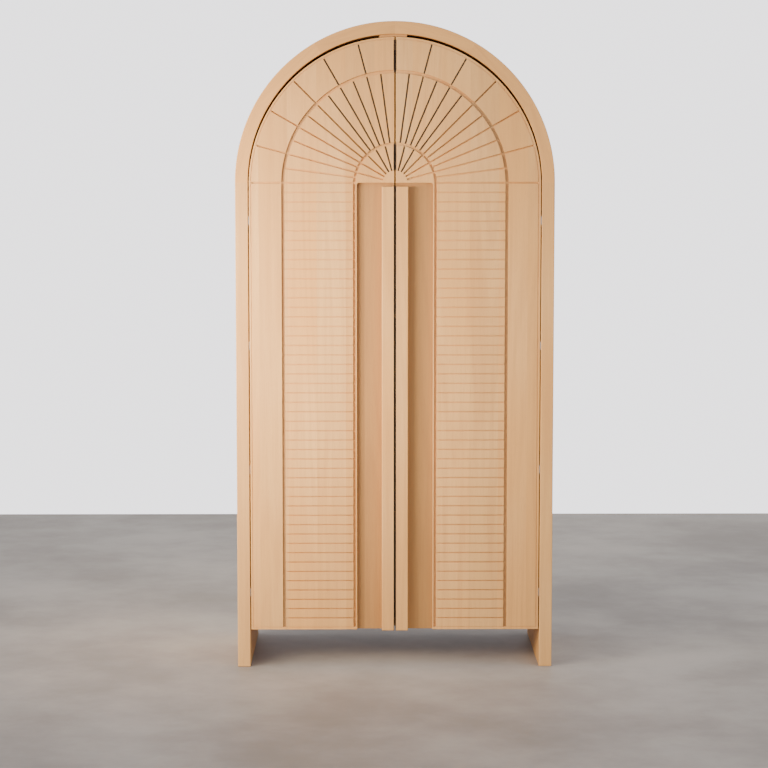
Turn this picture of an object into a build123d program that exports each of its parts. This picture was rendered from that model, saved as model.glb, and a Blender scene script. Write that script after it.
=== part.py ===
from build123d import *
import os
from math import asin, cos, degrees, radians, sin

# An arched two-door wardrobe cabinet with carved sunburst doors. Sizes are millimetres,
# +Z is up, the front looks along -Y, and the origin is under the middle of the whole piece.

# ---- case ----
case_width = 1016.0
case_depth = 508.0
spring_height = 1562.0        # floor to the line where the half-round arch begins
side_thickness = 41.0
glide_proud = 1.5             # the nylon glides carry the sides this far off the floor
case_round = 2.5              # rounding of the long front edges
segment_count = 6             # sawn pieces that make up the arch

# ---- doors ----
door_bottom = 122.5
door_thickness = 32.0
door_setback = 1.0            # door faces behind the front edge of the case
side_gap = 3.0
top_gap = 9.0
meeting_gap = 4.5

# ---- carving on the doors ----
slat_count = 47
groove_depth = 8.0            # rays and rings
row_depth = 5.0
row_groove = 3.5              # widths of the carved lines
ray_groove = 5.0
outer_groove = 10.0
inner_groove = 8.0
border_groove = 3.0
border_depth = 1.8
border_inset = 7.0
outer_ring = 356.0
inner_ring = 129.25
hub_radius = 39.0
fan_step = 15.0               # degrees between the rays of the hub and of the outer band
middle_step = 7.5             # degrees between the rays of the middle band

# ---- channel and handle beside the meeting edge ----
channel_rib = 3.75            # wood left between the channel and the inner ring's line
channel_depth = 14.0
channel_corner = 8.0
handle_width = 39.5
handle_gap = 5.0
handle_drop = 12.0            # handle top under the channel top
handle_proud = 20.0
handle_round = 2.5

# ---- panels and shelves ----
bottom_thickness = 25.0
bottom_rise = 5.5             # underside of the bottom above the doors' lower edge
housing_depth = 8.0
back_thickness = 12.0
rebate_width = 14.0
shelf_thickness = 22.0
fixed_shelf_drop = 25.0       # top of the fixed shelf under the spring line
loose_shelf_count = 3
shelf_setback = 10.0          # fixed shelf behind the doors
loose_setback = 20.0
shelf_end_gap = 2.0
stop_gap = 1.5                # doors' backs to the bottom's front edge
fit = 0.2                     # looseness of a glued or seated fit
rail_height = 70.0
rail_thickness = 18.0
wall_hole_spacing = 600.0
wall_hole_radius = 3.0

# ---- hinges: concealed, turning about the face corner of each door ----
hinge_count = 4
hinge_inset = 120.0           # first and last hinge from the ends of the straight edge
leaf_height = 96.0
leaf_width = 25.0
leaf_front = 3.0              # wood in front of a leaf
leaf_plate = 5.0
leaf_depth = 24.0
leaf_body_height = 60.0
link_inner = 11.0
link_outer = 23.0
link_height = 26.0
link_half_span = 69.0         # degrees each side of the middle of a link
link_clearance = 0.4
link_end_clearance = 1.5      # degrees
link_slit = 1.2
link_slit_depth = 2.4

# ---- small hardware ----
spline_width = 24.0
spline_thickness = 6.0
spline_end_gap = 30.0
tongue_depth = 8.0
tongue_thickness = 6.0
tongue_end_gap = 40.0
stop_width = 87.0
stop_shift = -6.0             # middle of the stop beside the meeting line
stop_lip_setback = 8.0
stop_clearance = 1.5
stop_depth = 40.0
stop_drop = 40.0              # stop below the crown of the doors
magnet_radius = 6.0
magnet_length = 12.0
magnet_spread = 50.0
magnet_proud = 1.2
strike_radius = 9.0
strike_thickness = 1.5
strike_stem = 3.0
strike_stem_length = 10.0
bumper_radius = 5.0
bumper_thickness = 1.2
bumper_inset = 79.0
glide_radius = 15.0
glide_stem = 2.5
glide_stem_length = 18.0
glide_inset = 60.0
pin_radius = 2.5
pin_length = 9.0
pin_seat = 14.0
pin_seat_width = 10.0
pin_seat_thickness = 3.0
pin_pitch = 32.0
pin_steps = 2                 # spare pin holes above and below each shelf
pin_inset = 37.0
pin_hole_depth = 10.0
screw_radius = 1.8
screw_head = 3.8
screw_head_height = 2.4
screw_slot = 1.0
hinge_screw = 25.0            # screw lengths
back_screw = 30.0
handle_screw = 40.0
stop_screw = 65.0
side_screw_count = 6
side_screw_inset = 90.0       # first and last screws from the ends of their row
board_screw_count = 5
rail_screw_count = 4
board_screw_inset = 60.0
handle_screw_count = 5
handle_screw_inset = 60.0
stop_screw_spread = 44.0
stop_screw_inset = 13.0

# ---- worked out from the sizes above ----
half_width = case_width / 2
inner_half = half_width - side_thickness
handle_reach = handle_proud - door_setback
overall_depth = case_depth + handle_reach
back_y = overall_depth / 2
front_y = back_y - case_depth
door_y = front_y + door_setback
door_back_y = door_y + door_thickness
back_panel_y = back_y - back_thickness

axis_x = inner_half - side_gap / 2
door_half = inner_half - side_gap
door_edge = meeting_gap / 2
door_spring = spring_height + inner_half - top_gap - door_half
door_crown = door_spring + door_half
border_half = door_half - border_inset
border_bottom = door_bottom + border_inset
slat_pitch = (spring_height - border_bottom) / slat_count

channel_half = inner_ring - inner_groove / 2 - channel_rib
channel_top = spring_height
channel_y = door_y + channel_depth
handle_edge = handle_gap / 2
handle_middle = handle_edge + handle_width / 2
handle_top = channel_top - handle_drop

bottom_z = door_bottom + bottom_rise
bottom_top = bottom_z + bottom_thickness
bottom_y = door_back_y + stop_gap
fixed_top = spring_height - fixed_shelf_drop
fixed_z = fixed_top - shelf_thickness
fixed_y = door_back_y + shelf_setback
loose_y = door_back_y + loose_setback
loose_back_y = back_panel_y - shelf_end_gap
compartment = (fixed_z - bottom_top - loose_shelf_count * shelf_thickness) / (loose_shelf_count + 1)
shelf_heights = [
    bottom_top + compartment + step * (compartment + shelf_thickness) for step in range(loose_shelf_count)
]

hinge_first = door_bottom + hinge_inset
hinge_pitch = (spring_height - hinge_inset - hinge_first) / (hinge_count - 1)
hinge_heights = [hinge_first + step * hinge_pitch for step in range(hinge_count)]
leaf_middle = leaf_front + leaf_width / 2
leaf_screw_z = (leaf_height + leaf_body_height) / 4

segment_angle = 180 / segment_count
spline_radius = inner_half + side_thickness / 2
rebate_half = inner_half + rebate_width
screw_half = inner_half + rebate_width / 2
stop_z = door_crown - stop_drop
magnet_z = stop_z + stop_drop / 2
parts_folder = "parts"


def upright(y):
    """The plane of the front view at depth y: its x is X and its y is height."""
    return Plane.XZ.offset(-y)


def facing(x, y, z, normal):
    """A place on a surface whose outward normal is given."""
    return Plane(origin=(x, y, z), z_dir=normal).location


def spread(first, last, count):
    """Evenly spaced values from first to last."""
    return [first + (last - first) * step / (count - 1) for step in range(count)]


def sector(inner, outer, start, span):
    """A face between two radii, over a span of degrees about the origin."""
    with BuildSketch() as face:
        with BuildLine():
            rim = CenterArc((0, 0), outer, start, span)
            bore = CenterArc((0, 0), inner, start, span)
            Line(rim @ 0, bore @ 0)
            Line(rim @ 1, bore @ 1)
        make_face()
    return face.sketch


def block(x, y, z):
    """A box between pairs of X, Y and Z values."""
    with BuildPart() as box:
        with BuildSketch(Plane.XY.offset(z[0])):
            with Locations(((x[0] + x[1]) / 2, (y[0] + y[1]) / 2)):
                Rectangle(x[1] - x[0], y[1] - y[0])
        extrude(amount=z[1] - z[0])
    return box.part


def screw(length):
    """A countersunk cross-slot wood screw, its head flush at the origin, pointing down."""
    with BuildPart() as blank:
        with BuildSketch(Plane.XZ):
            with BuildLine():
                Polyline(
                    (0, 0),
                    (screw_head, 0),
                    (screw_radius, -screw_head_height),
                    (screw_radius, -length + 2 * screw_radius),
                    (0, -length),
                    close=True,
                )
            make_face()
        revolve(axis=Axis.Z)
        with BuildSketch():
            Rectangle(screw_head, screw_slot)
            Rectangle(screw_slot, screw_head)
        extrude(amount=-screw_head_height / 2, mode=Mode.SUBTRACT)
    return blank.part


def screw_bore(length):
    """The countersunk hole that a screw of this length fills, a hair larger all over."""
    hair = fit / 4
    with BuildPart() as bore:
        with BuildSketch(Plane.XZ):
            with BuildLine():
                Polyline(
                    (0, hair),
                    (screw_head + hair, hair),
                    (screw_head + hair, 0),
                    (screw_radius + hair, -screw_head_height - hair),
                    (screw_radius + hair, -length - hair),
                    (0, -length - hair),
                    close=True,
                )
            make_face()
        revolve(axis=Axis.Z)
    return bore.part


def other_hand(part):
    """The same piece for the left side of the cabinet."""
    with BuildPart() as twin:
        mirror(part, about=Plane.YZ)
    return twin


def finish(piece, name):
    """Names a piece and writes its file."""
    piece.part.label = name
    export_step(piece.part, f"{parts_folder}/{name}.step")


os.makedirs(parts_folder, exist_ok=True)

# ---- places of the back screws, one list for each piece that takes them ----
back_normal = (0, 1, 0)
rail_z = fixed_z - rail_height / 2
edge_screw_heights = spread(bottom_z + side_screw_inset, spring_height - side_screw_inset, side_screw_count)
side_screws = [facing(screw_half, back_y, z, back_normal) for z in edge_screw_heights]
segment_turns = [radians((step + 0.5) * segment_angle) for step in range(segment_count)]
arch_spots = [(screw_half * cos(turn), spring_height + screw_half * sin(turn)) for turn in segment_turns]
arch_screws = [facing(x, back_y, z, back_normal) for x, z in arch_spots]
row_end = inner_half - board_screw_inset
board_row = spread(-row_end, row_end, board_screw_count)
rail_row = spread(-row_end, row_end, rail_screw_count)
bottom_screws = [facing(x, back_y, bottom_z + bottom_thickness / 2, back_normal) for x in board_row]
shelf_screws = [facing(x, back_y, fixed_z + shelf_thickness / 2, back_normal) for x in board_row]
rail_screws = [facing(x, back_y, rail_z, back_normal) for x in rail_row]
left_side_screws = [facing(-screw_half, back_y, z, back_normal) for z in edge_screw_heights]
all_back_screws = side_screws + left_side_screws + arch_screws + bottom_screws + shelf_screws + rail_screws
back_bore = screw_bore(back_screw)
hinge_bore = screw_bore(hinge_screw)

# ---- hinge leaf for the case side, about the turning axis at the origin ----
leaf_screw_places = [
    facing(side_gap / 2, leaf_middle, side * leaf_screw_z, (-1, 0, 0)) for side in (-1, 1)
]
with BuildPart() as case_leaf:
    with BuildSketch(Plane.YZ.offset(side_gap / 2)):
        with Locations((leaf_middle, 0)):
            SlotOverall(leaf_height, leaf_width, rotation=90)
    extrude(amount=leaf_plate)
    with BuildSketch(Plane.YZ.offset(side_gap / 2)):
        with Locations((leaf_middle, 0)):
            Rectangle(leaf_width, leaf_body_height)
    extrude(amount=leaf_depth)
    with BuildSketch(Plane.XY.offset(-link_height / 2 - link_clearance)):
        add(
            sector(
                link_inner - link_clearance,
                link_outer + link_clearance,
                90 - link_half_span - link_end_clearance,
                link_half_span + link_end_clearance,
            )
        )
    extrude(amount=link_height + 2 * link_clearance, mode=Mode.SUBTRACT)
    with Locations(*leaf_screw_places):
        add(hinge_bore, mode=Mode.SUBTRACT)

with BuildPart() as leaf_mortise:
    with BuildSketch(Plane.YZ.offset(side_gap / 2 - fit)):
        with Locations((leaf_middle, 0)):
            SlotOverall(leaf_height + 2 * fit, leaf_width + 2 * fit, rotation=90)
    extrude(amount=leaf_plate + 2 * fit)
    with BuildSketch(Plane.YZ.offset(side_gap / 2 - fit)):
        with Locations((leaf_middle, 0)):
            Rectangle(leaf_width + 2 * fit, leaf_body_height + 2 * fit)
    extrude(amount=leaf_depth + 2 * fit)
    with Locations(*leaf_screw_places):
        add(hinge_bore)

with BuildPart() as leaf_screws:
    with Locations(*leaf_screw_places):
        add(screw(hinge_screw))

with BuildPart() as hinge_link:
    with BuildSketch(Plane.XY.offset(-link_height / 2)):
        add(sector(link_inner, link_outer, 90 - link_half_span, 2 * link_half_span))
    extrude(amount=link_height)
    for slit_z in (-link_height / 6, link_height / 6):
        with BuildSketch(Plane.XY.offset(slit_z - link_slit / 2)):
            add(sector(link_outer - link_slit_depth, link_outer + link_slit_depth, 0, 180))
        extrude(amount=link_slit, mode=Mode.SUBTRACT)

hinge_places = [Location((axis_x, door_y, z)) for z in hinge_heights]

# ---- case sides ----
pin_columns = (loose_y + pin_inset, loose_back_y - pin_inset)
pin_heights = [z - pin_radius for z in shelf_heights]
hole_heights = [z + step * pin_pitch for z in pin_heights for step in range(-pin_steps, pin_steps + 1)]
pin_holes = [facing(inner_half, y, z, (-1, 0, 0)) for y in pin_columns for z in hole_heights]
glide_columns = (front_y + glide_inset, back_y - glide_inset)
glide_middle = inner_half + side_thickness / 2

with BuildPart() as right_side:
    add(block((inner_half, half_width), (front_y, back_y), (glide_proud, spring_height)))
    front_edges = right_side.edges().filter_by(Axis.Z).group_by(Axis.Y)[0]
    fillet(front_edges, radius=case_round)
    rebate_top = spring_height + side_thickness
    rebate = block(
        (inner_half - side_thickness, rebate_half),
        (back_panel_y, back_y + side_thickness),
        (bottom_z, rebate_top),
    )
    add(rebate, mode=Mode.SUBTRACT)
    for housing_y, housing_z, board in (
        (bottom_y, bottom_z, bottom_thickness),
        (fixed_y, fixed_z, shelf_thickness),
    ):
        housing = block(
            (inner_half - housing_depth, inner_half + housing_depth),
            (housing_y - fit, back_panel_y + fit),
            (housing_z, housing_z + board + fit),
        )
        add(housing, mode=Mode.SUBTRACT)
    with Locations(*pin_holes):
        Hole(radius=pin_radius + fit / 2, depth=pin_hole_depth)
    with Locations(*hinge_places):
        add(leaf_mortise.part, mode=Mode.SUBTRACT)
    with Locations(*side_screws):
        add(back_bore, mode=Mode.SUBTRACT)
    with Locations(*[facing(glide_middle, y, glide_proud, (0, 0, -1)) for y in glide_columns]):
        Hole(radius=glide_stem + fit / 2, depth=glide_stem_length + fit)
    spline_slot = block(
        (spline_radius - spline_thickness / 2 - fit / 2, spline_radius + spline_thickness / 2 + fit / 2),
        (front_y + spline_end_gap, back_y - spline_end_gap),
        (spring_height - spline_width / 2 - fit, spring_height + spline_width),
    )
    add(spline_slot, mode=Mode.SUBTRACT)
finish(right_side, "right_side")
left_side = other_hand(right_side.part)
finish(left_side, "left_side")

# ---- arch, sawn from straight boards and splined end to end ----
stop_back_y = bottom_y + stop_depth
stop_screw_y = stop_back_y - stop_screw_inset
stop_screw_x = stop_screw_spread / 2
stop_screw_places = [facing(x, stop_screw_y, stop_z, (0, 0, -1)) for x in (-stop_screw_x, stop_screw_x)]
stop_bore = screw_bore(stop_screw)
spline_reach = spline_thickness / 2
spline_start = front_y + spline_end_gap
spline_end = back_y - spline_end_gap
arch_spline = block(
    (spline_radius - spline_reach, spline_radius + spline_reach),
    (spline_start + fit, spline_end - fit),
    (-spline_width / 2, spline_width / 2),
)
spline_room = block(
    (spline_radius - spline_reach - fit / 2, spline_radius + spline_reach + fit / 2),
    (spline_start, spline_end),
    (-spline_width / 2 - fit, spline_width / 2 + fit),
)


def arch_turn(angle):
    """A place on the arch at this angle from its right springing."""
    return Location((0, 0, spring_height)) * Location((0, 0, 0), (0, -angle, 0))


joint_angles = [step * segment_angle for step in range(segment_count + 1)]
for number in range(segment_count):
    with BuildPart() as arch_segment:
        with BuildSketch(upright(front_y)):
            with Locations((0, spring_height)):
                add(sector(inner_half, half_width, joint_angles[number], segment_angle))
        extrude(amount=-case_depth)
        rims = arch_segment.edges().filter_by(GeomType.CIRCLE).group_by(Axis.Y)[0]
        fillet(rims, radius=case_round)
        with BuildSketch(upright(back_panel_y)):
            with Locations((0, spring_height)):
                add(sector(inner_half - side_thickness, rebate_half, joint_angles[number], segment_angle))
        extrude(amount=-2 * back_thickness, mode=Mode.SUBTRACT)
        with Locations(arch_turn(joint_angles[number]), arch_turn(joint_angles[number + 1])):
            add(spline_room, mode=Mode.SUBTRACT)
        with Locations(arch_screws[number]):
            add(back_bore, mode=Mode.SUBTRACT)
        with Locations(*stop_screw_places):
            add(stop_bore, mode=Mode.SUBTRACT)
    finish(arch_segment, f"arch_segment_{number + 1}")

with BuildPart() as arch_splines:
    with Locations(*[arch_turn(angle) for angle in joint_angles]):
        add(arch_spline)
finish(arch_splines, "arch_splines")

# ---- bottom, back, fixed shelf and wall rail ----
housed_half = inner_half + housing_depth - fit
with BuildPart() as bottom_panel:
    add(block((-housed_half, housed_half), (bottom_y, back_panel_y), (bottom_z, bottom_top)))
    with Locations(*bottom_screws):
        add(back_bore, mode=Mode.SUBTRACT)
finish(bottom_panel, "bottom_panel")

with BuildPart() as fixed_shelf:
    add(block((-housed_half, housed_half), (fixed_y, back_panel_y), (fixed_z, fixed_top)))
    with Locations(*shelf_screws):
        add(back_bore, mode=Mode.SUBTRACT)
finish(fixed_shelf, "fixed_shelf")

wall_holes = [facing(side * wall_hole_spacing / 2, back_y, rail_z, back_normal) for side in (-1, 1)]
with BuildPart() as wall_rail:
    rail_half = inner_half - fit
    rail_y = back_panel_y - rail_thickness
    add(block((-rail_half, rail_half), (rail_y, back_panel_y), (fixed_z - rail_height, fixed_z)))
    with Locations(*wall_holes):
        Hole(radius=wall_hole_radius, depth=back_thickness + rail_thickness + fit)
    with Locations(*rail_screws):
        add(back_bore, mode=Mode.SUBTRACT)
finish(wall_rail, "wall_rail")

back_half = rebate_half - fit
with BuildPart() as back_panel:
    with BuildSketch(upright(back_panel_y)):
        with Locations((0, (bottom_z + spring_height) / 2)):
            Rectangle(2 * back_half, spring_height - bottom_z)
        with Locations((0, spring_height)):
            Circle(back_half)
    extrude(amount=-back_thickness)
    with Locations(*all_back_screws):
        add(back_bore, mode=Mode.SUBTRACT)
    with Locations(*wall_holes):
        Hole(radius=wall_hole_radius, depth=back_thickness + fit)
finish(back_panel, "back_panel")

with BuildPart() as back_screws:
    with Locations(*all_back_screws):
        add(screw(back_screw))
finish(back_screws, "back_screws")

# ---- loose shelves on pins ----
loose_half = inner_half - shelf_end_gap
for name, shelf_z in zip(("lower_shelf", "middle_shelf", "upper_shelf"), shelf_heights):
    with BuildPart() as loose_shelf:
        add(block((-loose_half, loose_half), (loose_y, loose_back_y), (shelf_z, shelf_z + shelf_thickness)))
        shelf_front = loose_shelf.edges().filter_by(Axis.X).group_by(Axis.Y)[0]
        fillet(shelf_front, radius=case_round)
    finish(loose_shelf, name)

pin_tab = block(
    (-pin_seat, -shelf_end_gap),
    (-pin_seat_width / 2, pin_seat_width / 2),
    (pin_radius - pin_seat_thickness, pin_radius),
)
with BuildPart() as shelf_pin:
    with BuildSketch(Plane.YZ.offset(-shelf_end_gap)):
        Circle(pin_radius)
    extrude(amount=shelf_end_gap + pin_length)
    add(pin_tab)
right_pins = [Location((inner_half, y, z)) for y in pin_columns for z in pin_heights]
with BuildPart() as shelf_pins:
    with Locations(*right_pins):
        add(shelf_pin.part)
    mirror(about=Plane.YZ)
finish(shelf_pins, "shelf_pins")

# ---- door stop under the crown, with its magnets and screws ----
stop_front_y = door_y + stop_lip_setback
magnet_places = [facing(side * magnet_spread / 2, bottom_y, magnet_z, (0, -1, 0)) for side in (-1, 1)]
with BuildPart() as top_stop:
    with BuildSketch(upright(bottom_y)):
        with Locations((0, spring_height)):
            Circle(inner_half - fit)
        with Locations((stop_shift, stop_z + half_width)):
            Rectangle(stop_width, 2 * half_width, mode=Mode.INTERSECT)
    extrude(amount=-stop_depth)
    with BuildSketch(upright(stop_front_y)):
        with Locations((0, spring_height)):
            Circle(inner_half - fit)
        with Locations((stop_shift, spring_height + half_width)):
            Rectangle(stop_width, 2 * half_width, mode=Mode.INTERSECT)
        with Locations((0, door_spring)):
            Circle(door_half + stop_clearance, mode=Mode.SUBTRACT)
    extrude(amount=-(bottom_y - stop_front_y))
    with Locations(*magnet_places):
        Hole(radius=magnet_radius + fit / 2, depth=magnet_length - magnet_proud + fit)
    with Locations(*stop_screw_places):
        add(stop_bore, mode=Mode.SUBTRACT)
finish(top_stop, "top_stop")

with BuildPart() as top_stop_screws:
    with Locations(*stop_screw_places):
        add(screw(stop_screw))
finish(top_stop_screws, "top_stop_screws")

with BuildPart() as catch_magnets:
    for place in magnet_places:
        with BuildSketch(Plane(place).offset(magnet_proud)):
            Circle(magnet_radius)
        extrude(amount=-magnet_length)
finish(catch_magnets, "catch_magnets")

# ---- rubber bumpers on the bottom's front edge, and glides under the sides ----
bumper_z = bottom_z + bottom_thickness / 2
bumper_places = [(handle_middle, bumper_z), (inner_half - bumper_inset, bumper_z)]
with BuildPart() as door_bumpers:
    with BuildSketch(upright(bottom_y)):
        with Locations(*bumper_places):
            Circle(bumper_radius)
    extrude(amount=bumper_thickness)
    mirror(about=Plane.YZ)
finish(door_bumpers, "door_bumpers")

with BuildPart() as glide:
    with BuildSketch():
        Circle(glide_radius)
    extrude(amount=glide_proud)
    with BuildSketch():
        Circle(glide_stem)
    extrude(amount=glide_proud + glide_stem_length)
with BuildPart() as glides:
    with Locations(*[(glide_middle, y) for y in glide_columns]):
        add(glide.part)
    mirror(about=Plane.YZ)
finish(glides, "glides")

# ---- hinges ----
with BuildPart() as right_case_hinges:
    with Locations(*hinge_places):
        add(case_leaf.part)
finish(right_case_hinges, "right_case_hinges")
left_case_hinges = other_hand(right_case_hinges.part)
finish(left_case_hinges, "left_case_hinges")

with BuildPart() as case_hinge_screws:
    with Locations(*hinge_places):
        add(leaf_screws.part)
    mirror(about=Plane.YZ)
finish(case_hinge_screws, "case_hinge_screws")

door_leaf = other_hand(case_leaf.part)
with BuildPart() as right_door_hinges:
    with Locations(*hinge_places):
        add(door_leaf.part)
finish(right_door_hinges, "right_door_hinges")
left_door_hinges = other_hand(right_door_hinges.part)
finish(left_door_hinges, "left_door_hinges")

door_leaf_screws = other_hand(leaf_screws.part)
with BuildPart() as right_door_hinge_screws:
    with Locations(*hinge_places):
        add(door_leaf_screws.part)
finish(right_door_hinge_screws, "right_door_hinge_screws")
left_door_hinge_screws = other_hand(right_door_hinge_screws.part)
finish(left_door_hinge_screws, "left_door_hinge_screws")

with BuildPart() as right_hinge_links:
    with Locations(*hinge_places):
        add(hinge_link.part)
finish(right_hinge_links, "right_hinge_links")
left_hinge_links = other_hand(right_hinge_links.part)
finish(left_hinge_links, "left_hinge_links")

# ---- carved lines of the right door, in its front plane ----
door_mid_x = (channel_half + border_half) / 2
middle_width = outer_ring - inner_ring
row_heights = [border_bottom + step * slat_pitch for step in range(1, slat_count)]


def ray(start, end, angle, width):
    """A straight line between two radii at this angle about the middle of the spring line."""
    middle = (start + end) / 2
    centre = (middle * cos(radians(angle)), spring_height + middle * sin(radians(angle)))
    with Locations(Location((*centre, 0), (0, 0, angle))):
        Rectangle(end - start, width)


def fan(start, end, step, first):
    """Rays from a first angle up to the last one before the meeting edge."""
    for turn in range(round(first / step), round(90 / step)):
        ray(start, end, turn * step, ray_groove)


ring_drop = door_spring - border_bottom
with BuildSketch(upright(door_y)) as rows:
    with Locations((middle_width / 2 + inner_ring, 0)):
        with Locations(*[(0, z) for z in row_heights]):
            Rectangle(middle_width, row_groove)

with BuildSketch(upright(door_y)) as carving:
    for radius, width in ((inner_ring, inner_groove), (outer_ring, outer_groove)):
        with Locations((radius, border_bottom + ring_drop / 2)):
            Rectangle(width, ring_drop)
        with Locations((0, door_spring)):
            add(sector(radius - width / 2, radius + width / 2, 0, 90))
    fan(inner_ring, outer_ring, middle_step, first=0)
    fan(outer_ring, border_half, fan_step, first=0)
    fan(hub_radius, inner_ring, fan_step, first=fan_step)
    for start, end in ((hub_radius, inner_ring), (outer_ring, border_half)):
        ray(start, end, 90, 2 * door_edge + ray_groove)

with BuildSketch(upright(door_y)) as border:
    with Locations((border_half, (border_bottom + door_spring) / 2)):
        Rectangle(border_groove, door_spring - border_bottom + border_groove)
    with Locations((0, door_spring)):
        add(sector(border_half - border_groove / 2, border_half + border_groove / 2, 0, 90))
    with Locations((door_mid_x, border_bottom)):
        Rectangle(border_half - channel_half, border_groove)

# ---- right door: carved panel, channel board, handle and hardware ----
handle_screw_heights = spread(
    door_bottom + handle_screw_inset, handle_top - handle_screw_inset, handle_screw_count
)
handle_screws = [facing(handle_middle, door_back_y, z, back_normal) for z in handle_screw_heights]
handle_bore = screw_bore(handle_screw)
tongue_y = (channel_y + door_back_y) / 2
strike_x = magnet_spread / 2

with BuildPart() as right_door_panel:
    with BuildSketch(upright(door_y)):
        with BuildLine():
            arc_span = 90 - degrees(asin(door_edge / door_half))
            crown = CenterArc((0, door_spring), door_half, 0, arc_span)
            Polyline(
                crown @ 1,
                (door_edge, channel_top),
                (channel_half, channel_top),
                (channel_half, door_bottom),
                (door_half, door_bottom),
                crown @ 0,
            )
        make_face()
    extrude(amount=-door_thickness)
    upright_edges = right_door_panel.edges().filter_by(Axis.Y)
    fillet(upright_edges.sort_by_distance((channel_half, door_y, channel_top))[0], radius=channel_corner)
    extrude(rows.sketch, amount=-row_depth, mode=Mode.SUBTRACT)
    extrude(carving.sketch, amount=-groove_depth, mode=Mode.SUBTRACT)
    extrude(border.sketch, amount=-border_depth, mode=Mode.SUBTRACT)
    tongue_room = block(
        (channel_half - tongue_depth, channel_half + tongue_depth),
        (tongue_y - tongue_thickness / 2 - fit / 2, tongue_y + tongue_thickness / 2 + fit / 2),
        (door_bottom + tongue_end_gap - fit, channel_top - tongue_end_gap + fit),
    )
    add(tongue_room, mode=Mode.SUBTRACT)
    door_mortise = other_hand(leaf_mortise.part)
    with Locations(*hinge_places):
        add(door_mortise.part, mode=Mode.SUBTRACT)
    with Locations(facing(strike_x, door_back_y, magnet_z, back_normal)):
        Hole(radius=strike_radius + fit / 2, depth=strike_thickness)
        Hole(radius=strike_stem + fit / 2, depth=strike_thickness + strike_stem_length + fit)
finish(right_door_panel, "right_door_panel")
left_door_panel = other_hand(right_door_panel.part)
finish(left_door_panel, "left_door_panel")

with BuildPart() as right_channel_board:
    board_half = channel_half - fit
    board_top = channel_top - fit
    add(block((door_edge, board_half), (channel_y, door_back_y), (door_bottom, board_top)))
    board_corner = right_channel_board.edges().filter_by(Axis.Y)
    fillet(board_corner.sort_by_distance((board_half, channel_y, board_top))[0], radius=channel_corner)
    tongue = block(
        (door_edge, channel_half + tongue_depth - 2 * fit),
        (tongue_y - tongue_thickness / 2, tongue_y + tongue_thickness / 2),
        (door_bottom + tongue_end_gap, channel_top - tongue_end_gap),
    )
    add(tongue)
    with Locations(*handle_screws):
        add(handle_bore, mode=Mode.SUBTRACT)
finish(right_channel_board, "right_channel_board")
left_channel_board = other_hand(right_channel_board.part)
finish(left_channel_board, "left_channel_board")

with BuildPart() as right_handle:
    handle_sides = (handle_edge, handle_edge + handle_width)
    add(block(handle_sides, (door_y - handle_proud, channel_y), (door_bottom, handle_top)))
    handle_rim = right_handle.edges().group_by(Axis.Y)[0]
    fillet(handle_rim, radius=handle_round)
    with Locations(*handle_screws):
        add(handle_bore, mode=Mode.SUBTRACT)
finish(right_handle, "right_handle")
left_handle = other_hand(right_handle.part)
finish(left_handle, "left_handle")

with BuildPart() as right_handle_screws:
    with Locations(*handle_screws):
        add(screw(handle_screw))
finish(right_handle_screws, "right_handle_screws")
left_handle_screws = other_hand(right_handle_screws.part)
finish(left_handle_screws, "left_handle_screws")

with BuildPart() as right_strike_plate:
    with BuildSketch(Plane(facing(strike_x, door_back_y, magnet_z, back_normal))):
        Circle(strike_radius)
    extrude(amount=-strike_thickness)
    with BuildSketch(Plane(facing(strike_x, door_back_y, magnet_z, back_normal))):
        Circle(strike_stem)
    extrude(amount=-strike_thickness - strike_stem_length)
finish(right_strike_plate, "right_strike_plate")
left_strike_plate = other_hand(right_strike_plate.part)
finish(left_strike_plate, "left_strike_plate")
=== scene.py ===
from math import atan2, ceil, cos, hypot, pi, radians, sin, sqrt

import bmesh
import bpy
from mathutils import Matrix, Vector
from mathutils.geometry import delaunay_2d_cdt


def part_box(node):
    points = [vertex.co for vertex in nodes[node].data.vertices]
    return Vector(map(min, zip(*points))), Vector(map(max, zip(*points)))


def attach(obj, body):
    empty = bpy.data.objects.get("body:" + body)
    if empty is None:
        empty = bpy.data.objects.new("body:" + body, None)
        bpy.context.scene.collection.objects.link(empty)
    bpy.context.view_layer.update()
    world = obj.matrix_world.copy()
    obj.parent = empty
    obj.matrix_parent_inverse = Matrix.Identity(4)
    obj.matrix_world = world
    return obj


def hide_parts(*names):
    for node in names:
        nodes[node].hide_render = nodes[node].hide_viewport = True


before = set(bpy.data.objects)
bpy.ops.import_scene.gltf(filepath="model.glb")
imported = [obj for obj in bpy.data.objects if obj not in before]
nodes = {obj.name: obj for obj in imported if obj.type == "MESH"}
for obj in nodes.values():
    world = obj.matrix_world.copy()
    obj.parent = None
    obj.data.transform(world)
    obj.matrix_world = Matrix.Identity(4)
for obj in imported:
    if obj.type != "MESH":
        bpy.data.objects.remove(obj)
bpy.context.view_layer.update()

# Case sides: two thick boards of pale oak, glued up from narrower ones and left matt.
# They stand on the floor as feet, and their front edges are eased with a hand plane.
board_width = 0.092
pale_oak = (0.700, 0.372, 0.123, 1.0)
warm_oak = (0.655, 0.314, 0.084, 1.0)
late_wood = (0.480, 0.210, 0.061, 1.0)
# A dark brown for painted shade in narrow cuts and in the line between the doors.
painted_shade_colour = (0.070, 0.056, 0.040, 1.0)
ring_count = 13
ring_share = 0.16
streak_share = 0.22
fibre_share = 0.20
pore_share = 0.30
board_variation = 0.10
board_shift = (5.0, 5.0, 9.0)
luck_step = 7.31
# Painted shade on the faces where the doors meet, for the line between them.
gap_shade_edge = 0.0048
gap_shade_full = 0.0036
gap_shade_fade = 0.001
gap_shade_share = 0.92
matt_roughness = 0.46
fibre_roughness = 0.16
pore_drop = 0.8
upright_grain = (0.0, 0.0, 0.0)
upright_deep_grain = (0.0, 0.0, radians(-90))
level_grain = (0.0, radians(-90), radians(-90))


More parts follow.
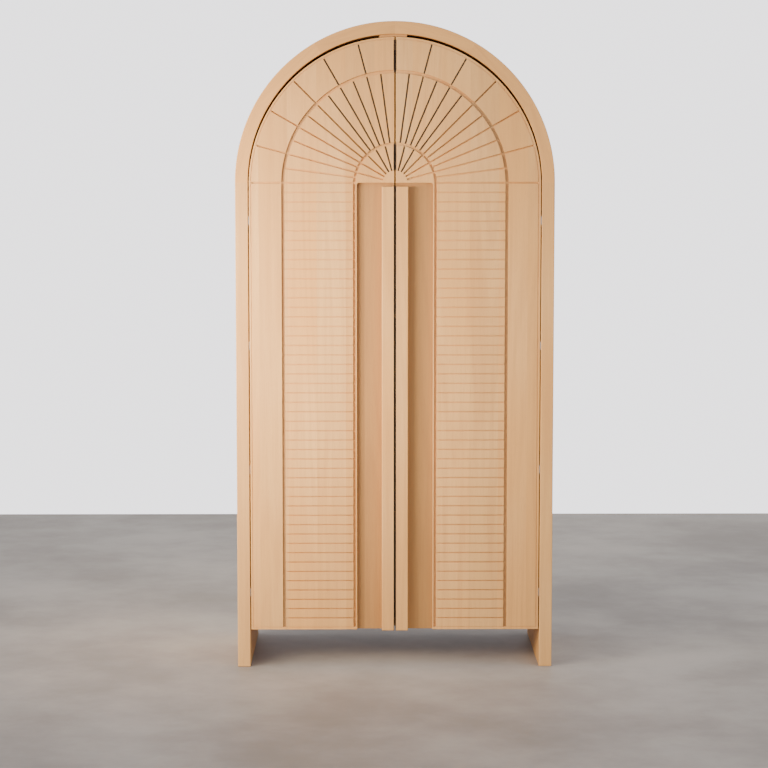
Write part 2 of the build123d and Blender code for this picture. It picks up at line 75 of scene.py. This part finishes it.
def shader_node(tree, kind, inputs, **settings):
    """Adds a shader node. Each input is a value, or the output that feeds it."""
    made = tree.nodes.new(kind)
    for setting, value in settings.items():
        setattr(made, setting, value)
    for socket, value in inputs.items():
        if isinstance(value, bpy.types.NodeSocket):
            tree.links.new(value, made.inputs[socket])
        else:
            made.inputs[socket].default_value = value
    return made


def sum_of(tree, operation, *values):
    """The result of one sum on numbers or outputs."""
    return shader_node(tree, "ShaderNodeMath", dict(enumerate(values)), operation=operation).outputs["Value"]


def fade(tree, value, low, high):
    """A value spread from 0 at low to 1 at high."""
    inputs = {"Value": value, "From Min": low, "From Max": high}
    return shader_node(tree, "ShaderNodeMapRange", inputs, interpolation_type="SMOOTHSTEP").outputs["Result"]


def blend_colour(tree, share, under, over):
    """One colour laid over another. A mixing node's colours are its sockets 6 and 7 in, and 2 out."""
    return shader_node(tree, "ShaderNodeMix", {0: share, 6: under, 7: over}, data_type="RGBA").outputs[2]


def noise(tree, place, scale, stretch, detail=2.0, roughness=0.5):
    """Noise in wood that runs along the grain: stretch is how much longer it is that way."""
    long = shader_node(tree, "ShaderNodeMapping", {"Vector": place, "Scale": (scale, scale, scale / stretch)})
    inputs = {"Vector": long.outputs["Vector"], "Scale": 1.0, "Detail": detail, "Roughness": roughness}
    return shader_node(tree, "ShaderNodeTexNoise", inputs).outputs["Fac"]


def solid_wood(
    name, grain, seed, board=board_width, shade=1.0, contrast=1.0, warmth=0.0, darkness=0.0, gap_shade_back=None
):
    """Matt lacquered oak. grain turns the board upright with its width along X.

    darkness is the share of a dark brown in it: painted shade for a narrow cut. The last argument is
    where, going back, painted shade ends on the faces where the doors meet, for the line between them.
    """
    material = bpy.data.materials.new(name)
    material.use_nodes = True
    tree = material.node_tree
    shader = tree.nodes["Principled BSDF"]
    place = shader_node(tree, "ShaderNodeTexCoord", {}).outputs["Object"]
    turned = shader_node(tree, "ShaderNodeMapping", {"Vector": place, "Rotation": grain}).outputs["Vector"]
    across = shader_node(tree, "ShaderNodeSeparateXYZ", {"Vector": turned}).outputs["X"]
    boards_across = sum_of(tree, "ADD", sum_of(tree, "DIVIDE", across, board), seed * luck_step)
    board_number = sum_of(tree, "FLOOR", boards_across)
    luck = shader_node(tree, "ShaderNodeTexWhiteNoise", {"W": board_number}, noise_dimensions="1D")
    shifted = {0: luck.outputs["Color"], 1: board_shift, 2: turned}
    wood = shader_node(tree, "ShaderNodeVectorMath", shifted, operation="MULTIPLY_ADD").outputs["Vector"]

    swirl = noise(tree, wood, scale=7.0, stretch=15.0, detail=1.5, roughness=0.4)
    rings = sum_of(tree, "SINE", sum_of(tree, "MULTIPLY", swirl, 2 * pi * ring_count))
    rings = fade(tree, rings, -0.2, 1.0)
    fibres = noise(tree, wood, scale=330.0, stretch=42.0, detail=3.0, roughness=0.6)
    streaks = noise(tree, wood, scale=60.0, stretch=40.0)
    pores = fade(tree, noise(tree, wood, scale=900.0, stretch=26.0, detail=1.0), 0.60, 0.72)
    cloud = noise(tree, wood, scale=3.2, stretch=2.6)

    colour = blend_colour(tree, fade(tree, cloud, 0.32 - warmth, 0.68 - warmth), pale_oak, warm_oak)
    for figure, share in (
        (rings, ring_share),
        (fade(tree, streaks, 0.40, 0.72), streak_share),
        (fade(tree, fibres, 0.42, 0.75), fibre_share),
        (pores, pore_share),
    ):
        colour = blend_colour(tree, sum_of(tree, "MULTIPLY", figure, share * contrast), colour, late_wood)
    # Painted shade on the front of the faces where the doors meet, for the narrow line between them.
    if gap_shade_back is not None:
        spot = shader_node(tree, "ShaderNodeSeparateXYZ", {"Vector": place})
        meeting = fade(tree, sum_of(tree, "ABSOLUTE", spot.outputs["X"]), gap_shade_edge, gap_shade_full)
        front = fade(tree, spot.outputs["Y"], gap_shade_back + gap_shade_fade, gap_shade_back)
        darkness = sum_of(tree, "MULTIPLY", sum_of(tree, "MULTIPLY", meeting, front), gap_shade_share)
    # Mixes in the painted shade.
    if darkness:
        colour = blend_colour(tree, darkness, colour, painted_shade_colour)
    darkest = shade - board_variation / 2 * contrast
    board_tone = sum_of(tree, "MULTIPLY_ADD", luck.outputs["Value"], board_variation * contrast, darkest)
    level = shader_node(tree, "ShaderNodeVectorMath", {0: colour, "Scale": board_tone}, operation="SCALE")
    tree.links.new(level.outputs["Vector"], shader.inputs["Base Color"])

    matt = sum_of(tree, "MULTIPLY_ADD", fibres, fibre_roughness, matt_roughness)
    tree.links.new(matt, shader.inputs["Roughness"])
    height = sum_of(tree, "SUBTRACT", fibres, sum_of(tree, "MULTIPLY", pores, pore_drop))
    bump = shader_node(tree, "ShaderNodeBump", {"Height": height, "Strength": 0.25, "Distance": 0.0004})
    tree.links.new(bump.outputs["Normal"], shader.inputs["Normal"])
    shader.inputs["Specular IOR Level"].default_value = 0.32
    return material


def finish_with(node, material):
    """Gives a CAD piece its finish."""
    nodes[node].data.materials.clear()
    nodes[node].data.materials.append(material)


finish_with("left_side", solid_wood("left_side_oak", upright_deep_grain, seed=1))
finish_with("right_side", solid_wood("right_side_oak", upright_deep_grain, seed=2))

# Arch: six blocks of the same oak, sawn to the curve with the grain along each one's chord.
# They are glued end to end over loose tongues, so the grain turns a little at each joint.
segment_count = 6
segment_turn = pi / segment_count
segment_shades = (1.02, 0.98, 1.04, 1.01, 1.06, 1.04)
whole_board = 0.4
for number, shade in enumerate(segment_shades):
    chord_grain = (0.0, (number + 0.5) * segment_turn, 0.0)
    segment_look = {"board": whole_board, "shade": shade, "warmth": 0.45}
    segment_oak = solid_wood(f"arch_oak_{number + 1}", chord_grain, seed=10 + number, **segment_look)
    finish_with(f"arch_segment_{number + 1}", segment_oak)
finish_with("arch_splines", solid_wood("spline_oak", upright_deep_grain, seed=17, shade=0.95))

# Inside of the case: bottom, fixed shelf, wall rail, loose shelves, the stop over the doors, the back.
# All of the same oak, with the grain from side to side, or upright in the back.
fixed_boards = ("bottom_panel", "fixed_shelf", "wall_rail")
loose_shelves = ("lower_shelf", "middle_shelf", "upper_shelf")
for number, board in enumerate((*fixed_boards, *loose_shelves, "top_stop")):
    finish_with(board, solid_wood(f"{board}_oak", level_grain, seed=20 + number, shade=0.97))
finish_with("back_panel", solid_wood("back_panel_oak", upright_grain, seed=30, board=0.17, shade=0.95))

# Door panels: oak staves glued up flat, then carved with a sunburst over level slats. The lines are cut
# square with eased edges, and a finer, shallower one runs round the border. Leaning and steep rays and
# the outer ring up to 45 degrees are painted darker, steep rays darkest, as painted shade in the cuts.
row_groove = 0.0035
ray_groove = 0.0050
outer_groove = 0.0100
inner_groove = 0.0080
border_groove = 0.0030
groove_depth = 0.0080
row_depth = 0.0050
border_depth = 0.0018
border_inset = 0.0070
outer_ring = 0.356
inner_ring = 0.12925
hub_radius = 0.039
hub_rays = 6
middle_rays = 12
slat_count = 47
channel_rib = 0.00375
channel_corner = 0.008
slat_corner = 0.0025
slat_corner_steps = 3
leaning_ray = radians(37)
steep_ray = radians(52)
# How far each panel material goes to the painted shade colour.
panel_darkness = {"panel_oak": 0.0, "leaning_line_shaded_oak": 0.27, "steep_line_shaded_oak": 0.85}
leaning_line, steep_line = 1, 2
arris = 0.0007
arris_steps = 3
longest_chord = 0.006

door_low, door_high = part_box("right_door_panel")
door_edge, door_y, door_bottom = door_low
door_half, door_back_y, door_crown = door_high
door_thickness = door_back_y - door_y
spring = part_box("right_side")[1].z
door_spring = door_crown - sqrt(door_half**2 - door_edge**2)
hub_right = inner_ring - inner_groove / 2
slat_left = inner_ring + inner_groove / 2
slat_right = outer_ring - outer_groove / 2
band_left = outer_ring + outer_groove / 2
ray_side = ray_groove / 2
channel_half = hub_right - channel_rib
border_inner = door_half - border_inset - border_groove / 2
border_outer = border_inner + border_groove
border_foot = door_bottom + border_inset - border_groove / 2
border_head = border_foot + border_groove
quarter = pi / 2


def beside_ray(turn, off, along):
    """The point this far along a ray of the sunburst and this far to the left of it."""
    return along * cos(turn) - off * sin(turn), spring + along * sin(turn) + off * cos(turn)


def on_arc(turn, off, radius):
    """Where a line beside a ray crosses a ring, whose middle is a little under the rays' own."""
    rise = spring - door_spring
    across = off + rise * cos(turn)
    return beside_ray(turn, off, sqrt(radius**2 - across**2) - rise * sin(turn))


def bend(centre_z, start, end, centre_x=0.0):
    """Points from start to end on the arc about a centre, both ends included."""
    radius = hypot(start[0] - centre_x, start[1] - centre_z)
    first = atan2(start[1] - centre_z, start[0] - centre_x)
    span = atan2(end[1] - centre_z, end[0] - centre_x) - first
    steps = max(1, ceil(abs(span) * radius / longest_chord))
    turns = [first + span * step / steps for step in range(1, steps)]
    return [start, *((centre_x + radius * cos(t), centre_z + radius * sin(t)) for t in turns), end]


def at_edge(radius):
    """The point of the meeting edge at this distance from the middle of the rings."""
    return door_edge, door_spring + sqrt(radius**2 - door_edge**2)


border_strip = [
    (channel_half, door_bottom),
    (door_half, door_bottom),
    *bend(door_spring, (door_half, door_spring), at_edge(door_half)),
    *bend(door_spring, at_edge(border_outer), (border_outer, door_spring)),
    (border_outer, border_foot),
    (channel_half, border_foot),
]
straight_band = [
    (band_left, border_head),
    (border_inner, border_head),
    (border_inner, door_spring),
    on_arc(0, -ray_side, border_inner),
    on_arc(0, -ray_side, band_left),
    (band_left, door_spring),
]
corner_start = (channel_half - channel_corner, spring)
corner_end = (channel_half, spring - channel_corner)
channel_edge = [
    (door_edge, spring),
    *bend(spring - channel_corner, corner_start, corner_end, channel_half - channel_corner),
    (channel_half, border_head),
]
hub = [*channel_edge, (hub_right, border_head)]
band, middle = [], []
ray_ends = [(straight_band[3], None)]
for step in range(hub_rays):
    turn, next_turn = quarter * step / hub_rays, quarter * (step + 1) / hub_rays
    last_off = -ray_side if step < hub_rays - 1 else -ray_side - door_edge
    hub_start = (hub_right, door_spring)
    if step > 0:
        hub += [beside_ray(turn, -ray_side, hub_radius), beside_ray(turn, ray_side, hub_radius)]
        hub_start = on_arc(turn, ray_side, hub_right)
    hub += bend(door_spring, hub_start, on_arc(next_turn, last_off, hub_right))
    rim = bend(
        door_spring, on_arc(turn, ray_side, border_inner), on_arc(next_turn, last_off, border_inner)
    )
    root = bend(door_spring, on_arc(next_turn, last_off, band_left), on_arc(turn, ray_side, band_left))
    band.append(rim + root)
    ray_ends[-1] = (ray_ends[-1][0], rim[0])
    ray_ends.append((rim[-1], at_edge(border_inner)))
hub += [(door_edge + ray_side, spring + hub_radius), (door_edge, spring + hub_radius)]
for step in range(middle_rays):
    turn, next_turn = quarter * step / middle_rays, quarter * (step + 1) / middle_rays
    last_off = -ray_side if step < middle_rays - 1 else -door_edge
    rim = bend(door_spring, on_arc(turn, ray_side, slat_right), on_arc(next_turn, last_off, slat_right))
    root = bend(door_spring, on_arc(next_turn, last_off, slat_left), on_arc(turn, ray_side, slat_left))
    middle.append(rim + root)

slat_pitch = (spring - door_bottom - border_inset) / slat_count
row_lines = [door_bottom + border_inset + step * slat_pitch for step in range(1, slat_count)]
slat_feet = [border_head, *(row + row_groove / 2 for row in row_lines)]
slat_heads = [*(row - row_groove / 2 for row in row_lines), spring - ray_side]


def turned_corner(x, z, first):
    """A slat's rounded corner, from its first direction on through a quarter turn."""
    turns = [first + quarter * step / slat_corner_steps for step in range(slat_corner_steps + 1)]
    return [(x + slat_corner * cos(turn), z + slat_corner * sin(turn)) for turn in turns]


slats, row_ends, toe = [], [], []
for foot, head in zip(slat_feet, slat_heads):
    middle_left, middle_right = slat_left + slat_corner, slat_right - slat_corner
    heel = [(slat_left, foot), (slat_right, foot)]
    if foot > border_head:
        heel = turned_corner(middle_left, foot + slat_corner, 2 * quarter)
        heel += turned_corner(middle_right, foot + slat_corner, 3 * quarter)
        row_ends += [(toe[-1], heel[0]), (toe[0], heel[-1])]
    toe = turned_corner(middle_right, head - slat_corner, 0)
    toe += turned_corner(middle_left, head - slat_corner, quarter)
    slats.append(heel + toe)
door_outline = [
    *border_strip[: border_strip.index(at_edge(border_outer)) + 1],
    at_edge(border_inner),
    on_arc(quarter, -door_edge, slat_right),
    on_arc(quarter, -door_edge, slat_left),
    (door_edge, spring + hub_radius),
    *channel_edge,
    (channel_half, border_foot),
]
line_ends = ray_ends + row_ends + [
    ((hub_right, border_head), (slat_left, border_head)),
    ((slat_right, border_head), (band_left, border_head)),
]


def inset(loop, distance):
    """The same outline, moved in by a distance."""
    moved = []
    for before, here, after in zip(loop[-1:] + loop[:-1], loop, loop[1:] + loop[:1]):
        coming, going = (here - before).normalized(), (after - here).normalized()
        inward = Vector((-coming.y - going.y, coming.x + going.x))
        moved.append(here + inward * (distance / (1 + coming.dot(going))))
    return moved


def cut_depth(corners):
    """How deep the floor is cut between three points: less in the rows, and least in the border line."""
    x, z = sum(corners, Vector((0, 0))) / len(corners)
    if z < border_head or hypot(x, max(0, z - door_spring)) > border_inner + border_groove / 8:
        return border_depth
    return row_depth if slat_left < x < slat_right and z < spring - ray_side else groove_depth


def ease(mesh, base, outline, face_depth=0.0, hand=1):
    """Rounds a face's edge from its base points up to the face, and closes it. hand is -1 on the back."""
    count = len(base)
    for step in range(1, arris_steps + 1):
        swing = quarter * step / arris_steps
        depth = face_depth + hand * arris * (1 - sin(swing))
        moved = inset(outline, arris * (1 - cos(swing)))
        ring = [mesh.verts.new((hand * x, door_y + depth, z)) for x, z in moved]
        for here in range(count):
            after = (here + 1) % count
            mesh.faces.new((base[here], base[after], ring[after], ring[here]))
        base = ring
    mesh.faces.new(base)


def micrometres(point):
    """A point to the nearest micrometre, so that a corner that shapes share is found again."""
    return tuple(round(part * 1e6) for part in point)


def carve(mesh):
    """The right door panel as one closed skin: raised fields, cut floors, walls, edges and back."""
    points, places, loops = [], {}, []
    for shape in (door_outline, border_strip, straight_band, hub, *band, *middle, *slats):
        for point in shape:
            if micrometres(point) not in places:
                places[micrometres(point)] = len(points)
                points.append(Vector(point))
        loops.append([places[micrometres(point)] for point in shape])
    ends = [tuple(places[micrometres(point)] for point in pair) for pair in line_ends]
    _, _, triangles, sources, _, owners = delaunay_2d_cdt(points, ends, loops, 0, 1e-7, True)

    floors, beside = [], {}
    for triangle, owner in zip(triangles, owners):
        if list(owner) == [0]:
            corners = [sources[corner][0] for corner in triangle]
            depth = cut_depth([points[corner] for corner in corners])
            floors.append((corners, depth))
            beside.update({pair: depth for pair in zip(corners, corners[1:] + corners[:1])})
    walls = []
    for loop in loops[1:]:
        for pair in zip(loop, loop[1:] + loop[:1]):
            walls.append((*pair, arris, beside.get(pair[::-1], door_thickness - arris)))
    for pair in zip(loops[0], loops[0][1:] + loops[0][:1]):
        if pair in beside:
            walls.append((*pair, beside[pair], door_thickness - arris))
    for pair, depth in beside.items():
        if beside.get(pair[::-1], 0) > depth:
            walls.append((*pair, depth, beside[pair[::-1]]))

    levels = {}
    for corners, depth in floors:
        for corner in corners:
            levels.setdefault(corner, set()).add(depth)
    for start, end, top, foot in walls:
        for corner in (start, end):
            levels.setdefault(corner, set()).update((top, foot))
    spots = {
        (corner, depth): mesh.verts.new((points[corner].x, door_y + depth, points[corner].y))
        for corner, depths in levels.items()
        for depth in depths
    }
    for corners, depth in floors:
        mesh.faces.new([spots[corner, depth] for corner in corners])
    for start, end, top, foot in walls:
        down = [spots[start, depth] for depth in sorted(levels[start]) if top <= depth <= foot]
        up = [spots[end, depth] for depth in sorted(levels[end], reverse=True) if top <= depth <= foot]
        mesh.faces.new(up + down)
    for loop in loops[1:]:
        ease(mesh, [spots[corner, arris] for corner in loop], [points[corner] for corner in loop])
    rear = loops[0][::-1]
    rear_base = [spots[corner, door_thickness - arris] for corner in rear]
    rear_outline = [Vector((-points[corner].x, points[corner].y)) for corner in rear]
    ease(mesh, rear_base, rear_outline, door_thickness, -1)


def darken_lines(mesh):
    """Paints leaning rays and the outer ring up to 45 degrees darker, and steep rays darkest: painted shade
    in the cuts.
    """
    for face in mesh.faces:
        middle = face.calc_center_median()
        turn = atan2(middle.z - spring, middle.x)
        reach = hypot(middle.x, max(0, middle.z - door_spring))
        deep = arris < middle.y - door_y < groove_depth + arris
        in_outer_ring = slat_right - arris < reach < band_left + arris
        in_inner_ring = hub_right < reach < slat_left
        if deep and in_outer_ring and turn < quarter / 2:
            face.material_index = leaning_line
        elif deep and turn > leaning_ray and hub_radius < reach < border_inner:
            if not (in_outer_ring or in_inner_ring):
                face.material_index = leaning_line if turn < steep_ray else steep_line


def prism(mesh, outline, travel):
    """A closed block: an outline in space, carried along a straight line."""
    first = [mesh.verts.new(point) for point in outline]
    last = [mesh.verts.new(Vector(point) + Vector(travel)) for point in outline]
    faces = [mesh.faces.new(first), mesh.faces.new(last[::-1])]
    for here, after in zip(range(len(first)), [*range(1, len(first)), 0]):
        faces.append(mesh.faces.new((first[after], first[here], last[here], last[after])))
    bmesh.ops.recalc_face_normals(mesh, faces=faces)


def cut_away(piece, blocks):
    """Cuts blocks, each an outline and how far it goes, out of a piece."""
    cutter_mesh = bmesh.new()
    for outline, travel in blocks:
        prism(cutter_mesh, outline, travel)
    cutter = new_piece("cutter", cutter_mesh)
    cut = piece.modifiers.new("cut", "BOOLEAN")
    cut.operation, cut.solver, cut.object = "DIFFERENCE", "EXACT", cutter
    whole = piece.data
    piece.data = bpy.data.meshes.new_from_object(piece.evaluated_get(bpy.context.evaluated_depsgraph_get()))
    piece.modifiers.clear()
    bpy.data.meshes.remove(whole)
    bpy.data.objects.remove(cutter)


def new_piece(name, mesh):
    """Makes an object of a mesh under construction."""
    data = bpy.data.meshes.new(name)
    mesh.to_mesh(data)
    mesh.free()
    piece = bpy.data.objects.new(name, data)
    bpy.context.scene.collection.objects.link(piece)
    return piece


def crisp(piece, sharpest=radians(32)):
    """Shades flat faces flat and eased edges round."""
    mesh = bmesh.new()
    mesh.from_mesh(piece.data)
    for face in mesh.faces:
        face.smooth = True
    for edge in mesh.edges:
        edge.smooth = edge.calc_face_angle(0) < sharpest
    mesh.to_mesh(piece.data)
    mesh.free()
    shading = piece.modifiers.new("shading", "WEIGHTED_NORMAL")
    shading.keep_sharp = True


# The hinges, the strike plate and the channel board's tongue are let into each panel.
hinge_count = 4
hinge_inset = 0.120
leaf_height = 0.096
leaf_width = 0.025
leaf_front = 0.003
leaf_plate = 0.005
leaf_depth = 0.024
leaf_body_height = 0.060
fit = 0.0002
tongue_depth = 0.008
tongue_thickness = 0.006
tongue_end = 0.040
strike_radius = 0.009
strike_thickness = 0.0015
round_points = 24

hinge_low = door_bottom + hinge_inset
hinge_step = (spring - hinge_inset - hinge_low) / (hinge_count - 1)
leaf_y = door_y + leaf_front + leaf_width / 2
strike_low, strike_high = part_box("right_strike_plate")
strike_x, strike_z = (strike_low.x + strike_high.x) / 2, (strike_low.z + strike_high.z) / 2
tongue_y = (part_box("right_channel_board")[0].y + door_back_y) / 2
leaf_blocks, body_blocks = [], []
for step in range(hinge_count):
    hinge_z = hinge_low + step * hinge_step
    end_radius = leaf_width / 2 + fit
    straight = leaf_height / 2 - leaf_width / 2
    slot = []
    for point in range(round_points):
        turn = 2 * pi * (point + 0.5) / round_points
        reach = straight if turn < pi else -straight
        end_y, end_z = leaf_y + end_radius * cos(turn), hinge_z + reach + end_radius * sin(turn)
        slot.append((door_half + fit, end_y, end_z))
    leaf_blocks.append((slot, (-leaf_plate - 2 * fit, 0, 0)))
    body = [
        (door_half - leaf_plate, leaf_y + side * end_radius, hinge_z + rise * (leaf_body_height / 2 + fit))
        for side, rise in ((-1, -1), (1, -1), (1, 1), (-1, 1))
    ]
    body_blocks.append((body, (leaf_plate - leaf_depth - fit, 0, 0)))
tongue_y_pair = (tongue_y - tongue_thickness / 2 - fit, tongue_y + tongue_thickness / 2 + fit)
tongue_foot, tongue_head = door_bottom + tongue_end, spring - tongue_end
tongue = [
    (channel_half - fit, tongue_y_pair[0], tongue_foot),
    (channel_half - fit, tongue_y_pair[1], tongue_foot),
    (channel_half - fit, tongue_y_pair[1], tongue_head),
    (channel_half - fit, tongue_y_pair[0], tongue_head),
]
strike_seat = [
    (
        strike_x + (strike_radius + fit / 2) * cos(2 * pi * point / round_points),
        door_back_y + fit,
        strike_z + (strike_radius + fit / 2) * sin(2 * pi * point / round_points),
    )
    for point in range(round_points)
]
leaf_blocks += [(tongue, (tongue_depth + fit, 0, 0)), (strike_seat, (0, -strike_thickness - fit, 0))]

# The right door is painted a little darker than the left: painted shade where the light falls off to the
# right.
door_falloff_shades = {"right": 0.97, "left": 1.0}
for hand, mirrored in (("right", False), ("left", True)):
    panel_mesh = bmesh.new()
    carve(panel_mesh)
    darken_lines(panel_mesh)
    panel = new_piece(f"{hand}_carved_panel", panel_mesh)
    door_seed = 41 if mirrored else 40
    for finish, darkness in panel_darkness.items():
        door_look = {"shade": door_falloff_shades[hand], "darkness": darkness}
        panel.data.materials.append(solid_wood(f"{hand}_{finish}", upright_grain, door_seed, **door_look))
    cut_away(panel, leaf_blocks)
    cut_away(panel, body_blocks)
    if mirrored:
        panel.data.transform(Matrix.Scale(-1, 4, (1, 0, 0)))
        panel.data.flip_normals()
    crisp(panel)
    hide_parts(f"{hand}_door_panel")
    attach(panel, f"{hand}_door")

# Channel boards and handles: a plain oak board lies deep beside each meeting edge, with the handle
# strip glued and screwed to it and rounded in front. The front of the two meeting faces is painted
# dark, as painted shade in the narrow line between them.
gap_shade_depth = 0.012
# The channel boards are painted darker and redder than the panels; most of the darkness is painted shade in
# the deep channel.
channel_shaded_look = {"board": 0.065, "shade": 0.60, "contrast": 1.2, "warmth": 0.35}
for number, hand in enumerate(("left", "right")):
    channel_oak = solid_wood(f"{hand}_channel_oak", upright_grain, 50 + number, **channel_shaded_look)
    finish_with(f"{hand}_channel_board", channel_oak)
    handle_look = {"board": whole_board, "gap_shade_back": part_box(f"{hand}_handle")[0].y + gap_shade_depth}
    finish_with(f"{hand}_handle", solid_wood(f"{hand}_handle_oak", upright_grain, 60 + number, **handle_look))

# Hinges: concealed barrels of satin nickel, let into the door and the case, four to a door. Their
# curved links, the strike plates, the catch magnets and the shelf pins have the same finish, and every
# screw is zinc plated.
nickel_colour = (0.66, 0.63, 0.58, 1.0)
nickel_roughness = 0.34
zinc_colour = (0.74, 0.75, 0.76, 1.0)
zinc_roughness = 0.26
drawn_lines = (300.0, 300.0, 20.0)
even_lines = (900.0, 900.0, 900.0)
worn_metal = 0.78
worn_sheen = 0.18


def drawn_metal(name, colour, rough, scratch):
    """Metal with fine drawn lines and a slightly uneven sheen."""
    material = bpy.data.materials.new(name)
    material.use_nodes = True
    tree = material.node_tree
    shader = tree.nodes["Principled BSDF"]
    shader.inputs["Metallic"].default_value = 1.0
    place = shader_node(tree, "ShaderNodeTexCoord", {}).outputs["Object"]
    lines = shader_node(tree, "ShaderNodeMapping", {"Vector": place, "Scale": scratch}).outputs["Vector"]
    wear = {"Vector": lines, "Scale": 3.0, "Detail": 3.0}
    worn = shader_node(tree, "ShaderNodeTexNoise", wear).outputs["Fac"]
    dim = tuple(worn_metal * part for part in colour[:3]) + (1.0,)
    tree.links.new(blend_colour(tree, worn, colour, dim), shader.inputs["Base Color"])
    sheen = sum_of(tree, "MULTIPLY_ADD", worn, worn_sheen, rough - worn_sheen / 2)
    tree.links.new(sheen, shader.inputs["Roughness"])
    bump = shader_node(tree, "ShaderNodeBump", {"Height": worn, "Strength": 0.12, "Distance": 0.0001})
    tree.links.new(bump.outputs["Normal"], shader.inputs["Normal"])
    return material


satin_nickel = drawn_metal("satin_nickel", nickel_colour, nickel_roughness, drawn_lines)
bright_zinc = drawn_metal("bright_zinc", zinc_colour, zinc_roughness, even_lines)
for node in nodes:
    if "screws" in node:
        finish_with(node, bright_zinc)
    elif "hinge" in node or "strike" in node or node in ("catch_magnets", "shelf_pins"):
        finish_with(node, satin_nickel)


# Bumpers and glides: clear rubber dots for the doors to close on, and nylon feet under the sides.
# The bumpers are stuck to the bottom's front edge, and each glide is driven in on its stem.
rubber_colour = (0.62, 0.60, 0.56, 1.0)
nylon_colour = (0.70, 0.68, 0.63, 1.0)
mottle_dimming = 0.86
mottle_sheen = 0.15
soft_depth = 0.002


def moulded(name, colour, rough, soft):
    """Moulded rubber or nylon with a faint mottle."""
    material = bpy.data.materials.new(name)
    material.use_nodes = True
    tree = material.node_tree
    shader = tree.nodes["Principled BSDF"]
    place = shader_node(tree, "ShaderNodeTexCoord", {}).outputs["Object"]
    spots = {"Vector": place, "Scale": 240.0, "Detail": 2.0}
    mottle = shader_node(tree, "ShaderNodeTexNoise", spots).outputs["Fac"]
    darker = tuple(mottle_dimming * part for part in colour[:3]) + (1.0,)
    tree.links.new(blend_colour(tree, mottle, colour, darker), shader.inputs["Base Color"])
    sheen = sum_of(tree, "MULTIPLY_ADD", mottle, mottle_sheen, rough)
    tree.links.new(sheen, shader.inputs["Roughness"])
    shader.inputs["Subsurface Weight"].default_value = soft
    shader.inputs["Subsurface Scale"].default_value = soft_depth
    return material


finish_with("door_bumpers", moulded("bumper_rubber", rubber_colour, rough=0.30, soft=0.35))
finish_with("glides", moulded("glide_nylon", nylon_colour, rough=0.42, soft=0.15))

# Studio: a plain floor of trowelled plaster, a glow all round that is brightest straight behind, and
# three soft lights in an arc to the front and left, each behind a grid that narrows its beam. The camera
# stands seven metres off with a long lens, at eye height.
floor_half = 6.0
floor_back = 2.92
floor_tones = ((0.262, 0.214, 0.160, 1.0), (0.400, 0.338, 0.262, 1.0))
floor_roughness = 0.62
floor_mesh = bmesh.new()
floor_front_ends = ((-floor_half, -floor_half), (floor_half, -floor_half))
floor_back_ends = ((floor_half, floor_back), (-floor_half, floor_back))
floor_corners = [floor_mesh.verts.new((x, y, 0.0)) for x, y in floor_front_ends + floor_back_ends]
floor_mesh.faces.new(floor_corners)
floor = new_piece("floor", floor_mesh)
plaster = bpy.data.materials.new("plaster")
plaster.use_nodes = True
plaster_tree = plaster.node_tree
plaster_shader = plaster_tree.nodes["Principled BSDF"]
floor_place = shader_node(plaster_tree, "ShaderNodeTexCoord", {}).outputs["Object"]
trowel = {"Vector": floor_place, "Scale": 1.6, "Detail": 6.0, "Roughness": 0.62}
clouds = shader_node(plaster_tree, "ShaderNodeTexNoise", trowel).outputs["Fac"]
floor_colour = blend_colour(plaster_tree, fade(plaster_tree, clouds, 0.3, 0.7), *floor_tones)
plaster_tree.links.new(floor_colour, plaster_shader.inputs["Base Color"])
plaster_shader.inputs["Roughness"].default_value = floor_roughness
floor.data.materials.append(plaster)

room_glow = 1.5
rear_glow = 0.55
back_glow = 1.9
room_colour = (0.91, 0.98, 1.15, 1.0)
back_colour = (0.99, 0.97, 1.0, 1.0)
rear_from, rear_to = -0.1, 0.5
back_from, back_to = 0.93, 0.965
world = bpy.data.worlds.new("studio")
bpy.context.scene.world = world
world.use_nodes = True
world_tree = world.node_tree
direction = shader_node(world_tree, "ShaderNodeTexCoord", {}).outputs["Generated"]
backward = shader_node(world_tree, "ShaderNodeSeparateXYZ", {"Vector": direction}).outputs["Y"]
rearward = fade(world_tree, backward, rear_from, rear_to)
room = sum_of(world_tree, "MULTIPLY_ADD", rearward, rear_glow - room_glow, room_glow)
behind = fade(world_tree, backward, back_from, back_to)
glow = sum_of(world_tree, "MULTIPLY_ADD", behind, back_glow, room)
glow_colour = blend_colour(world_tree, behind, room_colour, back_colour)
world_tree.links.new(glow, world_tree.nodes["Background"].inputs["Strength"])
world_tree.links.new(glow_colour, world_tree.nodes["Background"].inputs["Color"])


def stand_at(holder, place, aim):
    """Stands a light or the camera in its place, turned to what it is aimed at."""
    bpy.context.scene.collection.objects.link(holder)
    holder.location = place
    holder.rotation_euler = (Vector(aim) - holder.location).to_track_quat("-Z", "Y").to_euler()


light_reach = 3.0
light_height = 1.42
light_aim = (-0.85, door_y, 1.13)
light_size = (0.9, 0.7)
light_spread = radians(58.0)
light_power = 14.2
light_colour = (1.0, 0.905, 0.78)
light_turns = (radians(38), radians(51), radians(64))
for number, turn in enumerate(light_turns):
    lamp = bpy.data.lights.new(f"soft_light_{number + 1}", "AREA")
    lamp.shape = "RECTANGLE"
    lamp.size, lamp.size_y = light_size
    lamp.spread, lamp.energy, lamp.color = light_spread, light_power, light_colour
    light_place = (-light_reach * sin(turn), door_y - light_reach * cos(turn), light_height)
    stand_at(bpy.data.objects.new(lamp.name, lamp), light_place, light_aim)

camera_lens = 102.4
camera_place = (-0.090, -7.2045, 1.602)
camera_aim = (-0.035, -0.2445, 0.9205)
camera_data = bpy.data.cameras.new("camera")
camera_data.lens = camera_lens
camera = bpy.data.objects.new("camera", camera_data)
stand_at(camera, camera_place, camera_aim)
bpy.context.scene.camera = camera
